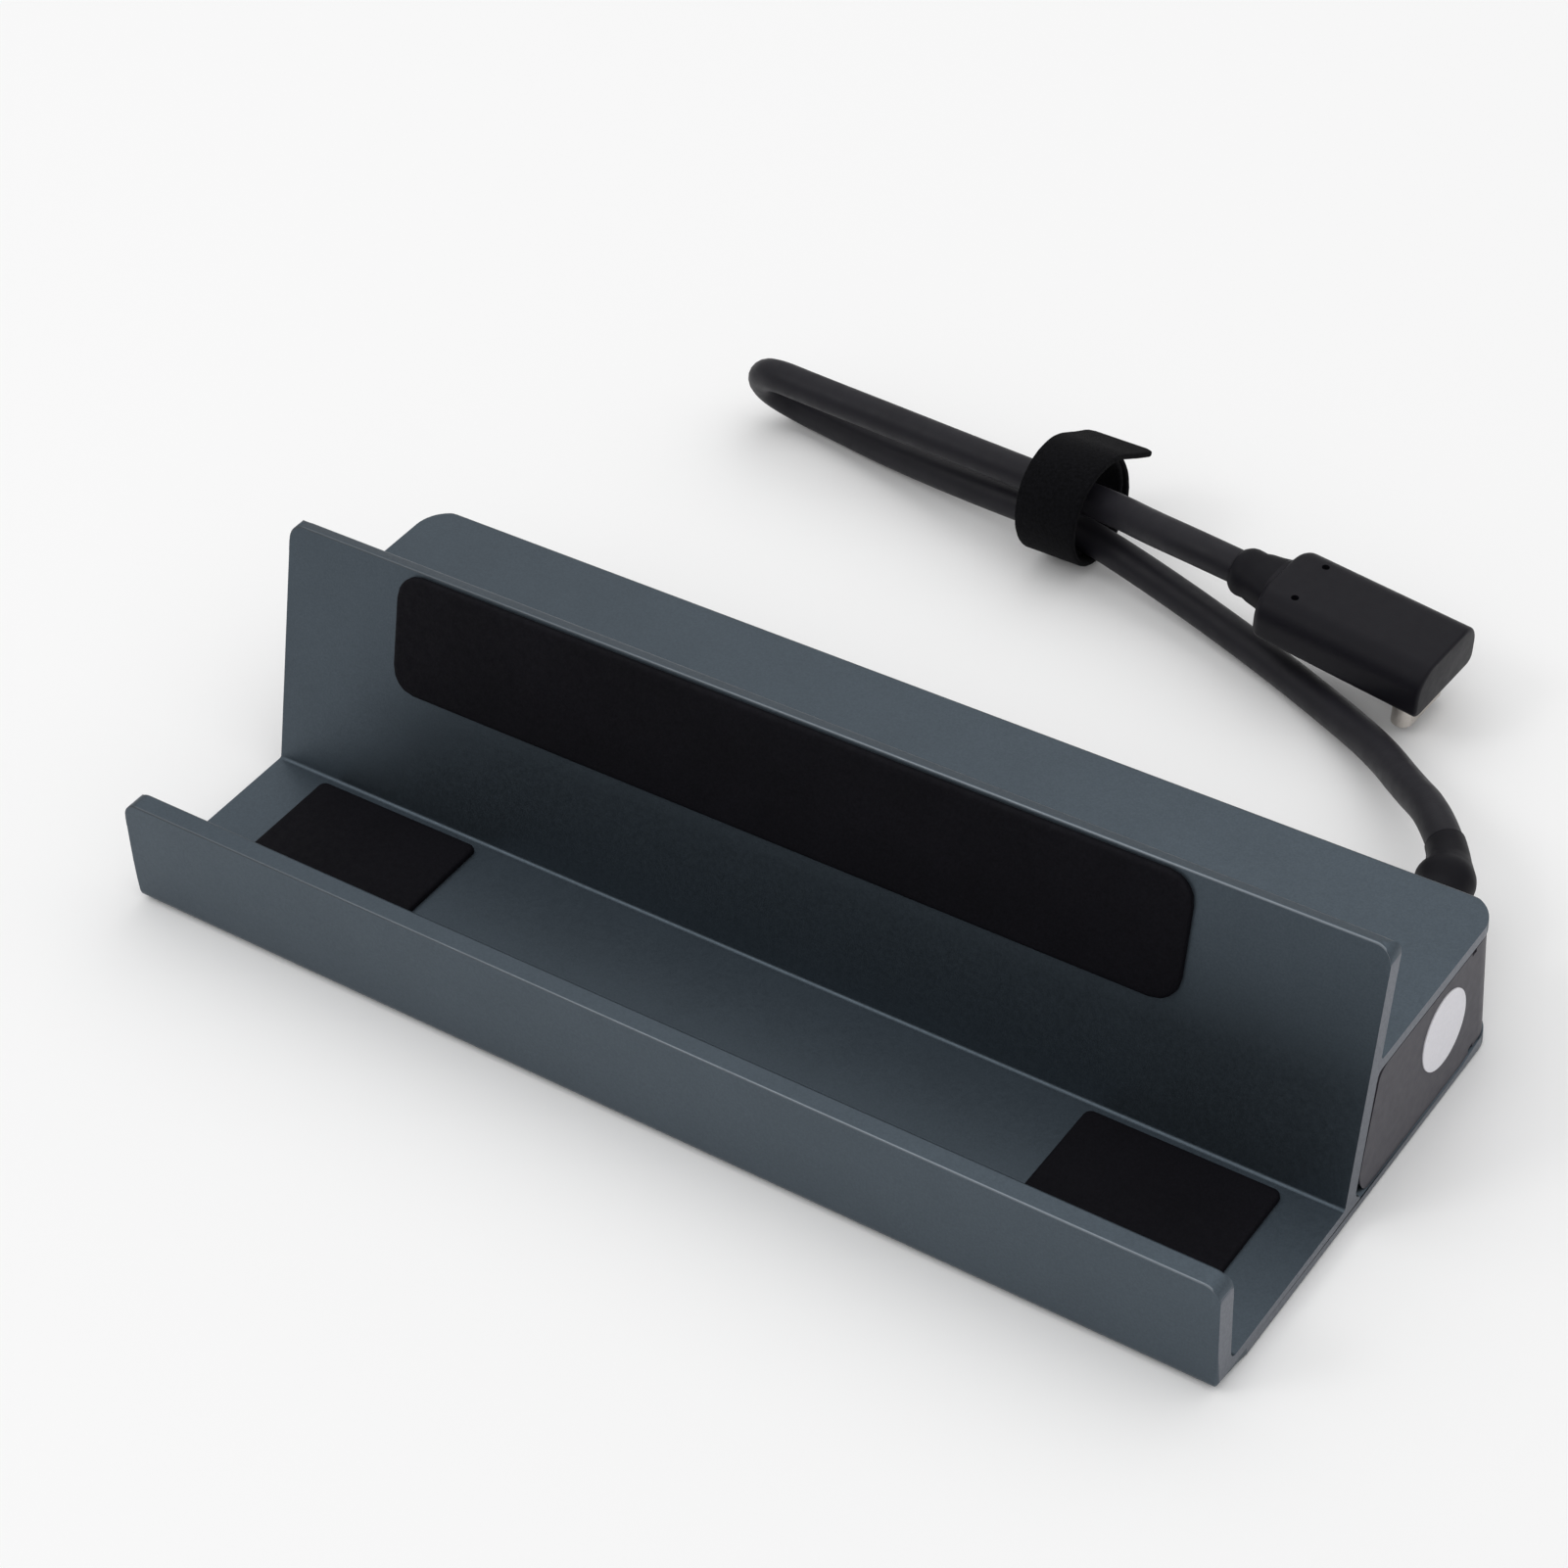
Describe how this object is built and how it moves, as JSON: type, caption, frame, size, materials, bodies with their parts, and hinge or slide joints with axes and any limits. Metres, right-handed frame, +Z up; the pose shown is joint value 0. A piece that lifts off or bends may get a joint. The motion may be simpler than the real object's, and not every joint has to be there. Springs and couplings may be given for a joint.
{
  "type": "handheld console dock",
  "caption": "Cradle dock for a handheld console: metal channel with a leaning backrest, rear ports and a folded cable with an angled plug.",
  "frame": {"origin": "middle of the dock's base outline, on the surface it stands on, without the cable", "axes": "+X along the dock to the end with the round sticker, -Y to the front lip, +Y to the ports, +Z up"},
  "size_m": [0.135, 0.1101, 0.0295],
  "materials": {
    "anodised_aluminium": "matt slate anodised",
    "housing_plastic": "fine moulded matt",
    "soft_pad": "soft matt",
    "foot_rubber": "matt",
    "sticker_white": "blank paper",
    "board_green": "solder mask",
    "screw_steel": "zinc plated",
    "socket_steel": "nickel plated",
    "tongue_plastic": "moulded",
    "network_plastic": "moulded",
    "contact_gold": "gold plated",
    "chip_plastic": "moulded",
    "capacitor_ceramic": "ceramic",
    "relief_rubber": "matt moulded",
    "cable_jacket": "matt jacket",
    "anchor_plastic": "moulded",
    "strap_fabric": "brushed loop cloth",
    "plug_plastic": "fine moulded matt",
    "plug_metal": "nickel plated",
    "insert_plastic": "moulded"
  },
  "bodies": {
    "root": {"backrest_pad": "soft_pad", "board_screws": "screw_steel", "cable_anchor": "anchor_plastic", "cable_inner_lead": "cable_jacket", "cable_strain_relief": "relief_rubber", "cable_strap": "strap_fabric", "capacitors": "capacitor_ceramic", "circuit_board": "board_green", "data_socket_1": "socket_steel", "data_socket_2": "socket_steel", "data_socket_3": "socket_steel", "data_tongue_1": "tongue_plastic", "data_tongue_2": "tongue_plastic", "data_tongue_3": "tongue_plastic", "dock_cable": "cable_jacket", "dock_extrusion": "anodised_aluminium", "floor_pad_left": "soft_pad", "floor_pad_right": "soft_pad", "foot_front": "foot_rubber", "foot_rear": "foot_rubber", "housing_screws": "screw_steel", "hub_chip": "chip_plastic", "inductors": "chip_plastic", "inspection_sticker": "sticker_white", "network_chip": "chip_plastic", "network_contacts": "contact_gold", "network_socket": "network_plastic", "plug_body": "plug_plastic", "plug_insert": "insert_plastic", "plug_shell": "plug_metal", "plug_strain_relief": "relief_rubber", "port_housing": "housing_plastic", "power_socket": "socket_steel", "power_tongue": "tongue_plastic", "video_chip": "chip_plastic", "video_socket": "socket_steel", "video_tongue": "tongue_plastic"}
  },
  "joints": []
}
